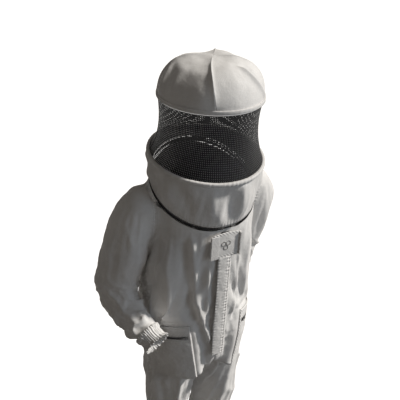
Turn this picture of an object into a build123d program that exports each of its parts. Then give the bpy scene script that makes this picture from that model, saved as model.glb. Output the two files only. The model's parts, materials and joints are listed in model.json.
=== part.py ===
from build123d import *
import math
import os

# Beekeeping coverall with a round, hooped veil that zips on round the neck.
# Units are millimetres. The wearer faces -Y and the wearer's left is +X, with +Z up.
# The origin is the point between the wearer's shoulders, at the height of the shoulder line.

# ---- Driving dimensions -------------------------------------------------------------------------
CLOTH = 2.4                 # wall of every cloth shell
SEWN_GAP = 0.5              # gap between a shell and a piece that lies on it

UPPER_HOOP_R = 168.0        # hoop in the brim of the crown
UPPER_HOOP_Z = 196.0
LOWER_HOOP_R = 190.0        # hoop in the casing below the mesh
LOWER_HOOP_CENTRE = (0.0, 7.0, -5.0)
LOWER_HOOP_TILT = 8.0       # degrees, front edge down
HOOP_WIRE_R = 2.2
CASING_R = 7.0              # fabric roll round the lower hoop
CROWN_TOP_Z = 335.0
FIRST_CROWN_SEAM = -29.0    # degrees from the front; the four gores are a quarter turn each
BRIM_HEIGHT = 24.0
MESH_WAIST_R = 163.0        # the mesh is a little narrower halfway down
MESH_WALL = 1.6
MESH_SEAM_ANGLE = 113.0     # degrees from the front, each side

HEADBAND_HALF = (80.0, 98.0)
HEADBAND_HEIGHT = 26.0
HEADBAND_Z = 214.0

NECK_R = 184.0              # neck zip, a flat ring that dips at the front
NECK_CENTRE = (0.0, 16.0, -112.0)
NECK_TILT = 30.0
NECK_TAPE_DEPTH = 14.0
UPPER_TAPE_TOP = 7.2
SKIRT_EDGE = 8.0            # the veil skirt ends this far above the zip
NECK_EDGE_DEPTH = 9.0       # the cloth ends this far below the zip
NECK_CHANNEL = 14.0         # cleared outside the zip, for its sliders

CENTRE_FRONT_Y = -140.0     # the centre front hangs straight down
FRONT_ZIP_TOP_Z = -226.0
FRONT_ZIP_BOTTOM_Z = -735.0
WAIST_Z = -430.0
CROTCH_Z = -800.0
HEM_TOP_Z = -1400.0
HEM_Z = -1440.0

# (height, centre y, half width, half depth) of the trunk
TRUNK = [
    (-28.0, 72.0, 96.0, 106.0),
    (-62.0, 42.0, 150.0, 138.0),
    (-110.0, 24.0, 182.0, 162.0),
    (-230.0, 24.0, 190.0, 170.0),
    (-430.0, 22.0, 188.0, 168.0),
    (-570.0, 22.0, 192.0, 169.0),
    (-690.0, 24.0, 194.0, 171.0),
    (CROTCH_Z, 24.0, 193.0, 164.0),
]
# The armholes, which a short tube across the body joins to the trunk.
ARMHOLE_X = 195.0
ARMHOLE_CENTRE = (50.0, -190.0)
ARMHOLE_HALF = (80.0, 88.0)
# (height, centre x, centre y, half width, half depth) of a trouser leg
LEG = [
    (-720.0, 98.0, 24.0, 94.0, 148.0),
    (-830.0, 98.0, 22.0, 92.0, 134.0),
    (-1040.0, 98.0, 26.0, 80.0, 102.0),
    (-1240.0, 99.0, 36.0, 75.0, 86.0),
    (HEM_TOP_Z, 100.0, 42.0, 70.0, 74.0),
]
HEM_R = 58.0
HEM_CENTRE = (100.0, 42.0)
# Sections down each sleeve, written for the wearer's left side:
# (centre, direction, half size across, half size fore and aft)
SLEEVE_GAP = 1.5            # cleared for a sleeve to swing against its armhole
SLEEVE_ROOT = [
    ((ARMHOLE_X + SLEEVE_GAP, 50.0, -190.0), (1.0, 0.0, 0.0), 88.0, 80.0),
    ((229.0, 51.0, -201.0), (0.94, 0.0, -0.34), 86.0, 80.0),
    ((260.0, 56.0, -247.0), (0.65, 0.0, -0.76), 76.0, 77.0),
]
SLEEVE_BENT = SLEEVE_ROOT + [
    ((274.0, 66.0, -320.0), (0.24, 0.10, -0.97), 71.0, 73.0),
    ((293.0, 82.0, -400.0), (0.16, 0.06, -0.98), 68.0, 70.0),
    ((301.0, 84.0, -464.0), (0.0, -0.38, -0.92), 66.0, 67.0),
    ((291.0, 32.0, -533.0), (-0.24, -0.78, -0.57), 60.0, 60.0),
    ((266.0, -48.0, -575.0), (-0.30, -0.86, -0.42), 52.0, 50.0),
    ((247.0, -98.0, -598.0), (-0.32, -0.86, -0.40), 44.0, 42.0),
]
SLEEVE_HANGING = SLEEVE_ROOT + [
    ((263.0, 72.0, -320.0), (0.06, 0.16, -0.98), 63.0, 72.0),
    ((262.0, 94.0, -400.0), (0.0, 0.20, -0.98), 61.0, 68.0),
    ((259.0, 108.0, -464.0), (-0.06, 0.18, -0.98), 58.0, 64.0),
    ((254.0, 121.0, -535.0), (-0.07, 0.17, -0.98), 53.0, 57.0),
    ((249.0, 131.0, -595.0), (-0.08, 0.16, -0.98), 48.0, 50.0),
    ((245.0, 140.0, -648.0), (-0.06, 0.14, -0.99), 43.0, 43.0),
]
ELBOW_SECTION = 5           # the lower sleeve is sewn on at this section
CUFF_R = 36.0
CUFF_LENGTH = 36.0

FLAP_LEFT_X = 55.0          # sewn edge of the throat flap
FLAP_RIGHT_X = -60.0
FLAP_TOP_Z = -222.0
FLAP_BOTTOM_Z = -318.0
FLY_HALF = 25.0
FLY_TOP_Z = -321.0
COVER_BACK_Y = -151.0       # inner face of the fly and the throat flap
COVER_WALL = 1.6
FLAP_RISE = 7.0             # of its curved top edge
FLAP_CLIP = 12.0            # of its clipped corner
STRIP = 5.0                 # thickness of the facings that hold the fly and the flap off the zip
PATCH_WIDTH = 26.0          # hook and loop patches
PATCH_WALL = 1.4
PATCH_INSET = 5.0

POCKET_AXIS = (22.6, 32.1)  # the hip is close to a cylinder round this point
POCKET_R = 183.0            # outer face of the patch pocket
POCKET_YAW = 51.0           # degrees from the front to the middle of the pocket
POCKET_ZIP_Z = -650.0       # height of the middle of the pocket zip
POCKET_SLANT = 10.0         # degrees, outer end down
POCKET_ZIP_HALF = 22.5      # degrees of arc each side of the middle
POCKET_HALF = 26.0
POCKET_ABOVE = 46.0
POCKET_BELOW = 190.0
ZIP_CHANNEL_DEPTH = 7.0

# Zip section, the same on every zip
ZIP_SLOT = 0.8              # half the slot between the two rows of teeth
TEETH_EDGE = 3.2
TEETH_HALF = 1.4
TAPE_EDGE = 16.0
TAPE_HALF = 0.6
SLIDER_LENGTH = 13.0
SLIDER_HALF = 5.0
PLATE_IN = 2.0
PLATE_OUT = 3.4
PIN_R = 1.0
PIN_CLEARANCE = 0.06
PIN_HEIGHT = 5.8
KNUCKLE_R = 1.9
LUG_IN = 3.6
LUG_OUT = 4.8
PULL_LENGTH = 17.0
PULL_HALF = 3.2
PULL_WALL = 0.7
NECK_SLIDER_ANGLE = 5.0     # degrees from the centre front to the middle of each neck slider
POCKET_SLIDER_ANGLE = -20.0
FRONT_SLIDER_DROP = 6.0

BIG = 2000.0
ELLIPSE_POINTS = 20


# ---- Helpers ------------------------------------------------------------------------------------
def tilted_plane(centre, tilt, along=0.0):
    """The plane of a ring whose front edge dips by tilt degrees, moved along its own axis."""
    angle = math.radians(tilt)
    normal = Vector(0, -math.sin(angle), math.cos(angle))
    return Plane(origin=Vector(*centre) + normal * along, x_dir=(1, 0, 0), z_dir=normal)


def ellipse_on(plane, half_x, half_y):
    """An ellipse that always starts on the plane's X axis, so that lofts don't twist."""
    turns = [2 * math.pi * i / ELLIPSE_POINTS for i in range(ELLIPSE_POINTS)]
    points = [(half_x * math.cos(t), half_y * math.sin(t)) for t in turns]
    return plane * make_face(Spline(*points, periodic=True))


def block(low, high):
    """A box between two corners."""
    size = [h - l for l, h in zip(low, high)]
    middle = [(h + l) / 2 for l, h in zip(low, high)]
    return Pos(*middle) * Box(*size)


def left_side():
    return block((0, -BIG, -BIG), (BIG, BIG, BIG))


def behind(y):
    return block((-BIG, y, -BIG), (BIG, BIG, BIG))


def front_of(y):
    return block((-BIG, -BIG, -BIG), (BIG, y, BIG))


def above(z):
    return block((-BIG, -BIG, z), (BIG, BIG, BIG))


def mirrored(shape):
    return shape.mirror(Plane.YZ)


def tube_between(plane, inner_r, outer_r, low, high):
    """A plain ring round the axis of a plane, from low to high along it."""
    ring = Circle(outer_r) - Circle(inner_r)
    return plane.offset(low) * extrude(ring, high - low)


def wedge(plane, start, end, radius=600.0):
    """The sector from start to end degrees about a plane's axis, 0 at the front, counted towards +X."""
    middle = (start + end) / 2
    half = (end - start) / 2
    points = [(0, 0)]
    steps = 6
    for i in range(steps + 1):
        a = math.radians(middle - half + 2 * half * i / steps)
        points.append((radius * math.sin(a), -radius * math.cos(a)))
    face = make_face(Polyline(*points, close=True))
    return plane.offset(-BIG / 2) * extrude(face, BIG)


def save(name, shape):
    """Writes a node. Its solids stay separate solids."""
    solids = shape.solids()
    shape = solids[0] if len(solids) == 1 else Compound(children=list(solids))
    export_step(shape, f"parts/{name}.step")


def save_pair(name, left):
    save(f"{name}_left", left)
    save(f"{name}_right", mirrored(left))


# ---- Hood ---------------------------------------------------------------------------------------
LOWER_HOOP = tilted_plane(LOWER_HOOP_CENTRE, LOWER_HOOP_TILT)
NECK = tilted_plane(NECK_CENTRE, NECK_TILT)


def crown_shell():
    """The dome, revolved from a rounded hat profile."""
    def dome(wall):
        top = CROWN_TOP_Z - wall
        side = UPPER_HOOP_R - wall
        shoulder = Spline((side, UPPER_HOOP_Z), (side * 0.85, UPPER_HOOP_Z + 60), (side * 0.62, top - 27),
                          (0, top), tangents=((0, 1), (-1, 0)))
        profile = shoulder + Line((0, top), (0, UPPER_HOOP_Z)) + Line((0, UPPER_HOOP_Z), (side, UPPER_HOOP_Z))
        return revolve(Plane.XZ * make_face(profile), Axis.Z)
    return dome(0) - dome(CLOTH)


def brim_band():
    """The band sewn outside the crown's edge, which carries the upper hoop."""
    r = UPPER_HOOP_R + SEWN_GAP
    plane = tilted_plane((0, 0, UPPER_HOOP_Z), 0)
    band = tube_between(plane, r, r + CLOTH, -BRIM_HEIGHT / 2, BRIM_HEIGHT / 2)
    return band


def hoop(plane, radius, wire):
    return plane * Torus(radius, wire)


def headband():
    """An elastic band for the head, on four straps that run up and out to the crown."""
    plane = Plane(origin=(0, 0, HEADBAND_Z))
    a, b = HEADBAND_HALF
    band = extrude(plane * (Ellipse(a, b) - Ellipse(a - 2, b - 2)), HEADBAND_HEIGHT)
    strap = block((-9, b - 1.0, HEADBAND_Z + 2), (9, 148.0, HEADBAND_Z + 4))
    side = block((a - 1.0, -9, HEADBAND_Z + 2), (148.0, 9, HEADBAND_Z + 4))
    inside = Pos(0, 0, HEADBAND_Z) * Cylinder(142.0, 60.0)
    straps = [strap, strap.mirror(Plane.XZ), side, mirrored(side)]
    for piece in straps:
        band = band + (piece & inside)
    return band


def veil_tube(reach):
    """The tapering body of the veil, from the upper hoop to the lower one, grown outwards by reach."""
    low = LOWER_HOOP.offset(CASING_R + 0.6)
    middle = Plane(origin=(0, 3, 92))
    top = Plane(origin=(0, 0, UPPER_HOOP_Z - BRIM_HEIGHT / 2 - 0.6))
    radii = (LOWER_HOOP_R - 3, MESH_WAIST_R + 3, UPPER_HOOP_R - 3)
    return loft([ellipse_on(p, r + reach, r + reach) for p, r in zip((low, middle, top), radii)])


def hoop_casing():
    """The cloth roll round the lower hoop, in a front and a back half."""
    roll = LOWER_HOOP * Torus(LOWER_HOOP_R, CASING_R) - LOWER_HOOP * Torus(LOWER_HOOP_R, HOOP_WIRE_R + 0.2)
    front = front_of(LOWER_HOOP_CENTRE[1])
    return Compound(children=[(roll & front).solids()[0], (roll - front).solids()[0]])


def skirt_tube(reach):
    """The cloth between the lower hoop and the neck zip, grown outwards by reach."""
    top = LOWER_HOOP.offset(-CASING_R - 0.6)
    middle = tilted_plane((0, 13, -62), 19)
    low = NECK.offset(SKIRT_EDGE)
    radii = (LOWER_HOOP_R - 2, NECK_R + 4, NECK_R + 1.5)
    return loft([ellipse_on(p, r + reach, r + reach) for p, r in zip((top, middle, low), radii)])


def build_hood():
    axis = Plane.XY
    crown = crown_shell()
    for i, name in enumerate(("front", "left", "back", "right")):
        start = FIRST_CROWN_SEAM + 90 * i
        save(f"crown_gore_{name}", crown & wedge(axis, start, start + 90))
    save("brim_band", brim_band())
    save("upper_hoop", hoop(Plane(origin=(0, 0, UPPER_HOOP_Z - 6)), UPPER_HOOP_R - HOOP_WIRE_R - 0.5, HOOP_WIRE_R))
    save("headband", headband())

    veil = veil_tube(0) - veil_tube(-MESH_WALL)
    front = wedge(axis, -MESH_SEAM_ANGLE, MESH_SEAM_ANGLE)
    save("veil_mesh_front", veil & front)
    save("veil_mesh_back", veil - front)
    seams = (veil_tube(SEWN_GAP + 1.2) - veil_tube(SEWN_GAP)) & wedge(axis, MESH_SEAM_ANGLE - 2, MESH_SEAM_ANGLE + 2)
    save("veil_seam_tapes", Compound(children=[seams.solids()[0], mirrored(seams).solids()[0]]))

    save("lower_hoop_casing", hoop_casing())
    save("lower_hoop", hoop(LOWER_HOOP, LOWER_HOOP_R, HOOP_WIRE_R))
    skirt = skirt_tube(0) - skirt_tube(-CLOTH)
    save("veil_skirt_front", skirt & front_of(NECK_CENTRE[1]))
    save("veil_skirt_back", skirt - front_of(NECK_CENTRE[1]))
    save("neck_zip_upper_tape", tube_between(NECK, NECK_R - 2 * TAPE_HALF, NECK_R, TEETH_EDGE, UPPER_TAPE_TOP))
    save("neck_zip_upper_teeth", neck_teeth(ZIP_SLOT, TEETH_EDGE))


# ---- Zips ---------------------------------------------------------------------------------------
def neck_teeth(low, high):
    middle = NECK_R - TAPE_HALF
    return tube_between(NECK, middle - TEETH_HALF, middle + TEETH_HALF, low, high)


def straight_tapes(length):
    """Both tapes of a straight zip that runs along +X in the XY plane and faces +Z."""
    tape = block((0, TEETH_EDGE, -TAPE_HALF), (length, TAPE_EDGE, TAPE_HALF))
    return [tape, tape.mirror(Plane.XZ)]


def straight_teeth(length):
    row = block((0, ZIP_SLOT, -TEETH_HALF), (length, TEETH_EDGE, TEETH_HALF))
    return [row, row.mirror(Plane.XZ)]


def slider():
    """A slider at the start of its zip: two plates, the wedge between the teeth, lugs and a pin for the pull."""
    outer = block((0, -SLIDER_HALF, PLATE_IN), (SLIDER_LENGTH, SLIDER_HALF, PLATE_OUT))
    inner = block((0, -SLIDER_HALF, -PLATE_OUT), (SLIDER_LENGTH, SLIDER_HALF, -PLATE_IN))
    web = block((0, -ZIP_SLOT + 0.3, -PLATE_IN), (SLIDER_LENGTH, ZIP_SLOT - 0.3, PLATE_IN))
    lug = block((SLIDER_LENGTH / 2 - 2, LUG_IN, PLATE_OUT), (SLIDER_LENGTH / 2 + 2, LUG_OUT, PIN_HEIGHT + 2))
    pin = Pos(SLIDER_LENGTH / 2, 0, PIN_HEIGHT) * Rot(90, 0, 0) * Cylinder(PIN_R, 2 * LUG_OUT)
    return outer + inner + web + lug + lug.mirror(Plane.XZ) + pin


def pull():
    """The pull lying along its zip, with a knuckle on the slider's pin."""
    start = SLIDER_LENGTH / 2
    knuckle = Pos(start, 0, PIN_HEIGHT) * Rot(90, 0, 0) * Cylinder(KNUCKLE_R, 2 * PULL_HALF)
    tab = block((start, -PULL_HALF, PIN_HEIGHT - PULL_WALL),
                (start + PULL_LENGTH, PULL_HALF, PIN_HEIGHT + PULL_WALL))
    grip_hole = Pos(start + PULL_LENGTH - 4.5, 0, PIN_HEIGHT) * Cylinder(1.5, 4)
    bore = Pos(start, 0, PIN_HEIGHT) * Rot(90, 0, 0) * Cylinder(PIN_R + PIN_CLEARANCE, 4 * PULL_HALF)
    return knuckle + tab - bore - grip_hole


def slider_plane(ring, radius, degrees, side):
    """Where a slider lies on a ring of teeth: X away from the front, Z outwards. side is 1 left, -1 right."""
    angle = math.radians(degrees)
    local = Vector(math.sin(angle) * side, -math.cos(angle), 0)
    outward = ring.from_local_coords(local) - ring.origin
    tangent = ring.z_dir.cross(outward) * side
    start = ring.origin + outward * radius - tangent * (SLIDER_LENGTH / 2)
    return Plane(origin=start, x_dir=tangent, z_dir=outward)


def pocket_ring():
    """The plane of the left pocket's zip, an arc round the hip. Its front is the middle of the zip."""
    yaw = math.radians(POCKET_YAW)
    slant = math.radians(POCKET_SLANT)
    across = Vector(math.cos(yaw), math.sin(yaw), 0)
    along = across * math.cos(slant) - Vector(0, 0, 1) * math.sin(slant)
    normal = across * math.sin(slant) + Vector(0, 0, 1) * math.cos(slant)
    return Plane(origin=(*POCKET_AXIS, POCKET_ZIP_Z), x_dir=along, z_dir=normal)


FRONT_ZIP = Plane(origin=(0, CENTRE_FRONT_Y, FRONT_ZIP_TOP_Z), x_dir=(0, 0, -1), z_dir=(0, -1, 0))
POCKET = pocket_ring()


# ---- Suit ---------------------------------------------------------------------------------------
def trunk(wall):
    """The trunk as a solid with a flat front, its surface drawn in by wall."""
    sections = [ellipse_on(Plane(origin=(0, cy, z)), a - wall, b - wall) for z, cy, a, b in TRUNK]
    return loft(sections) & behind(CENTRE_FRONT_Y + wall)


def armholes(wall):
    """The tube across the body, from armhole to armhole, drawn in by wall except at its open ends."""
    reach = ARMHOLE_X + (1.0 if wall else 0.0)
    plane = Plane(origin=(-reach, *ARMHOLE_CENTRE), x_dir=(0, 1, 0), z_dir=(1, 0, 0))
    return extrude(ellipse_on(plane, ARMHOLE_HALF[0] - wall, ARMHOLE_HALF[1] - wall), 2 * reach)


def leg(wall):
    """The left trouser leg as a solid, drawn in by wall."""
    reach = 1.0 if wall else 0.0
    sections = []
    for i, (z, cx, cy, a, b) in enumerate(LEG):
        last = i == len(LEG) - 1
        sections.append(ellipse_on(Plane(origin=(cx, cy, z - (reach if last else 0))), a - wall, b - wall))
    return loft(sections)


def neck_clearance():
    """What is cut from the cloth at the neck: all above its edge, and a close seat for the tape."""
    channel = NECK.offset(-NECK_EDGE_DEPTH) * extrude(Circle(NECK_R + NECK_CHANNEL), 600)
    seat = tube_between(NECK, NECK_R - 2 * TAPE_HALF - 0.3, NECK_R + 0.3, -NECK_TAPE_DEPTH - 0.5, 0)
    return channel + seat


def body_solids():
    """The body as a solid, and the same with its hollow."""
    outer_leg, inner_leg = leg(0), leg(CLOTH)
    outer = trunk(0) + armholes(0) + outer_leg + mirrored(outer_leg)
    hollow = trunk(CLOTH) & above(CROTCH_Z + CLOTH)
    hollow = hollow + armholes(CLOTH) + inner_leg + mirrored(inner_leg)
    return outer, outer - hollow - neck_clearance()


def sleeve_section(section, wall):
    centre, direction, across, fore = section
    d = Vector(*direction).normalized()
    back = (Vector(0, 1, 0) - d * d.Y).normalized()
    return ellipse_on(Plane(origin=centre, x_dir=back, z_dir=d), fore - wall, across - wall)


def sleeve_solid(sections, wall):
    """Part of a sleeve as a solid with open ends, joined up from one length between each pair of sections."""
    lengths = [loft([sleeve_section(s, wall), sleeve_section(t, wall)]) for s, t in zip(sections, sections[1:])]
    solid = lengths[0]
    for length in lengths[1:]:
        solid = solid + length
    return solid


def build_sleeve(name, sections, place):
    """One sleeve: upper part, lower part, cuff and its elastic."""
    for part, some in (("upper", sections[:ELBOW_SECTION + 1]), ("lower", sections[ELBOW_SECTION:])):
        save(f"sleeve_{part}_{name}", place(sleeve_solid(some, 0) - sleeve_solid(some, CLOTH)))
    end, direction, outer_r, _ = sections[-1]
    plane = Plane(origin=end, z_dir=direction)
    cuff = tube_between(plane, CUFF_R, outer_r, 0, CUFF_LENGTH)
    groove = tube_between(plane, CUFF_R + 2.0, CUFF_R + 4.4, 6.0, CUFF_LENGTH - 6.0)
    elastic = tube_between(plane, CUFF_R + 2.2, CUFF_R + 4.2, 6.2, CUFF_LENGTH - 6.2)
    save(f"cuff_{name}", place(cuff - groove))
    save(f"cuff_elastic_{name}", place(elastic))


def unchanged(shape):
    return shape


def build_sleeves():
    build_sleeve("left", SLEEVE_HANGING, unchanged)
    build_sleeve("right", SLEEVE_BENT, mirrored)


def ankle_hem():
    """The left ankle hem, a gathered band round an elastic, in one outer and one inner part."""
    x, y = HEM_CENTRE
    plane = Plane(origin=(x, y, HEM_TOP_Z), z_dir=(0, 0, -1))
    height = HEM_TOP_Z - HEM_Z
    band = tube_between(plane, HEM_R, HEM_R + 8.0, 0, height)
    groove = tube_between(plane, HEM_R + 2.6, HEM_R + 5.4, 7.0, height - 7.0)
    elastic = tube_between(plane, HEM_R + 2.8, HEM_R + 5.2, 7.2, height - 7.2)
    flare = tube_between(plane, HEM_R + 8.0, LEG[-1][3] + 2, 0, CLOTH)
    return band - groove + flare, elastic


def build_body():
    outer, shell = body_solids()
    zip_slot = block((-TAPE_EDGE, -BIG, FRONT_ZIP_BOTTOM_Z), (TAPE_EDGE, 0, FRONT_ZIP_TOP_Z + 40))
    shell = shell - zip_slot
    front = front_of(TRUNK[3][1])
    left = left_side()
    for name, half, z_side in (("front_panel", True, True), ("back_panel", False, True),
                               ("trouser_front", True, False), ("trouser_back", False, False)):
        panel = shell & left
        panel = panel & front if half else panel - front
        panel = panel & above(WAIST_Z) if z_side else panel - above(WAIST_Z)
        biggest = max(panel.solids(), key=lambda s: s.volume)
        save_pair(name, biggest)

    hem, elastic = ankle_hem()
    save_pair("ankle_hem", hem)
    save("ankle_elastics", Compound(children=[elastic.solids()[0], mirrored(elastic).solids()[0]]))

    save("neck_zip_lower_tape", tube_between(NECK, NECK_R - 2 * TAPE_HALF, NECK_R, -NECK_TAPE_DEPTH, -TEETH_EDGE))
    save("neck_zip_lower_teeth", neck_teeth(-TEETH_EDGE, -ZIP_SLOT))
    return outer


def flap_outline():
    """The throat flap, with a curved top edge and a clipped top corner."""
    side_z = FLAP_TOP_Z - FLAP_RISE
    corner = (FLAP_RIGHT_X + FLAP_CLIP, side_z)
    middle = ((FLAP_LEFT_X + FLAP_RIGHT_X) / 2, FLAP_TOP_Z)
    top = ThreePointArc(corner, middle, (FLAP_LEFT_X, side_z))
    rest = Polyline((FLAP_LEFT_X, side_z), (FLAP_LEFT_X, FLAP_BOTTOM_Z), (FLAP_RIGHT_X, FLAP_BOTTOM_Z),
                    (FLAP_RIGHT_X, side_z - FLAP_CLIP), corner)
    return make_face(top + rest)


def build_front_opening():
    length = FRONT_ZIP_TOP_Z - FRONT_ZIP_BOTTOM_Z
    save("front_zip_tapes", FRONT_ZIP * Compound(children=straight_tapes(length)))
    save("front_zip_teeth", FRONT_ZIP * Compound(children=straight_teeth(length)))

    # The fly is sewn down on the wearer's left and open on the right.
    cover_front_y = COVER_BACK_Y - COVER_WALL
    save("front_fly", block((-FLY_HALF, cover_front_y, FRONT_ZIP_BOTTOM_Z), (FLY_HALF, COVER_BACK_Y, FLY_TOP_Z)))
    save("fly_facing", block((FLY_HALF - STRIP, COVER_BACK_Y, FRONT_ZIP_BOTTOM_Z),
                             (FLY_HALF, CENTRE_FRONT_Y, FLY_TOP_Z)))

    # The throat flap is sewn on the left and closes with hook and loop on the right.
    plane = Plane(origin=(0, cover_front_y, 0), x_dir=(1, 0, 0), z_dir=(0, -1, 0))
    save("throat_flap", extrude(plane * flap_outline(), -COVER_WALL))
    low, high = FLAP_BOTTOM_Z + PATCH_INSET, FLAP_TOP_Z - FLAP_RISE - PATCH_INSET
    x0, x1 = FLAP_RIGHT_X + PATCH_INSET, FLAP_RIGHT_X + PATCH_INSET + PATCH_WIDTH
    hook_back = COVER_BACK_Y + PATCH_WALL
    loop_front = hook_back + SEWN_GAP
    loop_back = loop_front + PATCH_WALL
    save("flap_hook_patch", block((x0, COVER_BACK_Y, low), (x1, hook_back, high)))
    save("flap_loop_patch", block((x0, loop_front, low), (x1, loop_back, high)))
    facing_top = min(high + STRIP, FRONT_ZIP_TOP_Z - STRIP)
    right = block((x0 - STRIP / 2, loop_back, FLAP_BOTTOM_Z), (x1, CENTRE_FRONT_Y, facing_top))
    left = block((FLAP_LEFT_X - STRIP, COVER_BACK_Y + SEWN_GAP, FLAP_BOTTOM_Z),
                 (FLAP_LEFT_X, CENTRE_FRONT_Y, facing_top))
    save("throat_facing", Compound(children=[right, left]))


def build_pockets(outer):
    solid = tube_between(POCKET, POCKET_R - 60, POCKET_R, -POCKET_BELOW, POCKET_ABOVE)
    solid = solid & wedge(POCKET, -POCKET_HALF, POCKET_HALF)
    channel = tube_between(POCKET, POCKET_R - ZIP_CHANNEL_DEPTH, POCKET_R + 5, -TAPE_EDGE - 0.3, TAPE_EDGE + 0.3)
    arc = wedge(POCKET, -POCKET_ZIP_HALF - 0.2, POCKET_ZIP_HALF + 0.2)
    patch = solid - outer - (channel & arc)
    save_pair("pocket", max(patch.solids(), key=lambda s: s.volume))

    teeth_r = POCKET_R - TEETH_HALF
    span = wedge(POCKET, -POCKET_ZIP_HALF, POCKET_ZIP_HALF)
    rows = []
    for low, high, half in ((ZIP_SLOT, TEETH_EDGE, TEETH_HALF), (TEETH_EDGE, TAPE_EDGE, TAPE_HALF)):
        for a, b in ((low, high), (-high, -low)):
            rows.append((tube_between(POCKET, teeth_r - half, teeth_r + half, a, b) & span).solids()[0])
    save_pair("pocket_zip", Compound(children=rows))
    place = slider_plane(POCKET, teeth_r, POCKET_SLIDER_ANGLE, 1)
    save_pair("pocket_slider", place * slider())
    save_pair("pocket_pull", place * pull())


def build_sliders():
    for name, side in (("left", 1), ("right", -1)):
        plane = slider_plane(NECK, NECK_R - TAPE_HALF, NECK_SLIDER_ANGLE, side)
        save(f"neck_slider_{name}", plane * slider())
        save(f"neck_pull_{name}", plane * pull())
    place = FRONT_ZIP * Pos(FRONT_SLIDER_DROP, 0, 0)
    save("front_slider", place * slider())
    save("front_pull", place * pull())


os.makedirs("parts", exist_ok=True)
build_hood()
body_outer = build_body()
build_sleeves()
build_front_opening()
build_pockets(body_outer)
build_sliders()
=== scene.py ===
import json
import math

import bmesh
import bpy
import numpy as np
from mathutils import Matrix, Vector, noise

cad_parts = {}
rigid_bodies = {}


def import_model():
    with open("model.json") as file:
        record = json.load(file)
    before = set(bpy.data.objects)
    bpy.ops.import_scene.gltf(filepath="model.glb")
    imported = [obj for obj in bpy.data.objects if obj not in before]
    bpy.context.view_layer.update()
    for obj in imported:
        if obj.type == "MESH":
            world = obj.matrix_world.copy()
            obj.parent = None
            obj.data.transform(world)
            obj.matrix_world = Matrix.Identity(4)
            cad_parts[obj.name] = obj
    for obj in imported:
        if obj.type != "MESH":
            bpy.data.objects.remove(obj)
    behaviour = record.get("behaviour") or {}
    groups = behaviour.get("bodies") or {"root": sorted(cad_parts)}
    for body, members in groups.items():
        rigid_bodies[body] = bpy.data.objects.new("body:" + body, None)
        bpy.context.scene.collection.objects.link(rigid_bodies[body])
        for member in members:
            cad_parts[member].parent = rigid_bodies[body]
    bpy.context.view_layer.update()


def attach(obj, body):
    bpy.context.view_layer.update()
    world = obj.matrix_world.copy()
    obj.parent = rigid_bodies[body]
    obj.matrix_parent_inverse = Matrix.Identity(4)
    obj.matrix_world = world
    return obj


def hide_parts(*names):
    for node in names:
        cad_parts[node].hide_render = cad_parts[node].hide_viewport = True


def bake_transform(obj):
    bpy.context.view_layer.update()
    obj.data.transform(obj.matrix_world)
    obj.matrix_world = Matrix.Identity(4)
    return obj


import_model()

TAU = 2 * math.pi

# ---- The suit's shape, in metres, in the part's own frame -----------------------------------------
NECK_C, NECK_TILT = np.array([0, .016, -.112]), math.radians(30)
HOOP_C, HOOP_TILT, HOOP_R = np.array([0, .007, -.005]), math.radians(8), .190
BRIM_R, BRIM_Z = .168, .196
FRONT_Y, FLY_TOP, FLY_BOTTOM, HEM_Z = -.140, -.321, -.735, -1.40

# Trunk: height, centre y, half width, half depth. Leg: height, centre x, centre y, half width, half depth
TRUNK = [(.03, .085, .075, .085), (-.028, .072, .110, .108), (-.062, .046, .156, .138),
         (-.110, .024, .182, .162), (-.230, .024, .190, .168), (-.430, .022, .187, .166),
         (-.570, .022, .191, .168), (-.690, .024, .194, .170), (-.790, .024, .190, .162)]
LEG = [(-.70, .098, .024, .092, .145), (-.830, .098, .022, .092, .136), (-1.04, .098, .026, .080, .104),
       (-1.24, .099, .036, .075, .088), (-1.42, .100, .042, .066, .068)]

# Sleeves: centre, direction, half across, half fore and aft
ROOT = [((.10, .050, -.190), (1, 0, 0), .078, .076), ((.196, .050, -.190), (1, 0, 0), .086, .079),
        ((.229, .051, -.201), (.94, 0, -.34), .086, .080), ((.260, .056, -.247), (.65, 0, -.76), .076, .077)]
BENT = ROOT + [((.274, .066, -.320), (.24, .10, -.97), .071, .073),
               ((.293, .082, -.400), (.16, .06, -.98), .068, .070),
               ((.301, .084, -.464), (0, -.38, -.92), .066, .067),
               ((.291, .032, -.533), (-.24, -.78, -.57), .060, .060),
               ((.266, -.048, -.575), (-.30, -.86, -.42), .052, .050),
               ((.247, -.098, -.598), (-.32, -.86, -.40), .044, .043)]
HANGING = ROOT + [((.254, .072, -.320), (.06, .16, -.98), .060, .072),
                  ((.253, .094, -.400), (0, .20, -.98), .057, .068),
                  ((.252, .108, -.464), (-.06, .18, -.98), .058, .064),
                  ((.250, .121, -.535), (-.07, .17, -.98), .053, .057),
                  ((.249, .131, -.595), (-.08, .16, -.98), .048, .050),
                  ((.245, .140, -.648), (-.06, .14, -.99), .043, .043)]
POCKET_C = np.array([.0226, .0321, -.650])
POCKET_YAW, POCKET_SLANT = math.radians(51), math.radians(10)


# ---- Mesh helpers --------------------------------------------------------------------------------
def link(name, verts, faces, uv=None):
    mesh = bpy.data.meshes.new(name)
    mesh.from_pydata([tuple(v) for v in verts], [], [tuple(int(i) for i in f) for f in faces])
    mesh.update()
    if uv is not None:
        layer = mesh.uv_layers.new(name="UVMap")
        loops = np.zeros(len(mesh.loops), int)
        mesh.loops.foreach_get("vertex_index", loops)
        layer.data.foreach_set("uv", np.asarray(uv, float)[loops].ravel())
    mesh.shade_smooth()
    obj = bpy.data.objects.new(name, mesh)
    bpy.context.scene.collection.objects.link(obj)
    return obj


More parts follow.
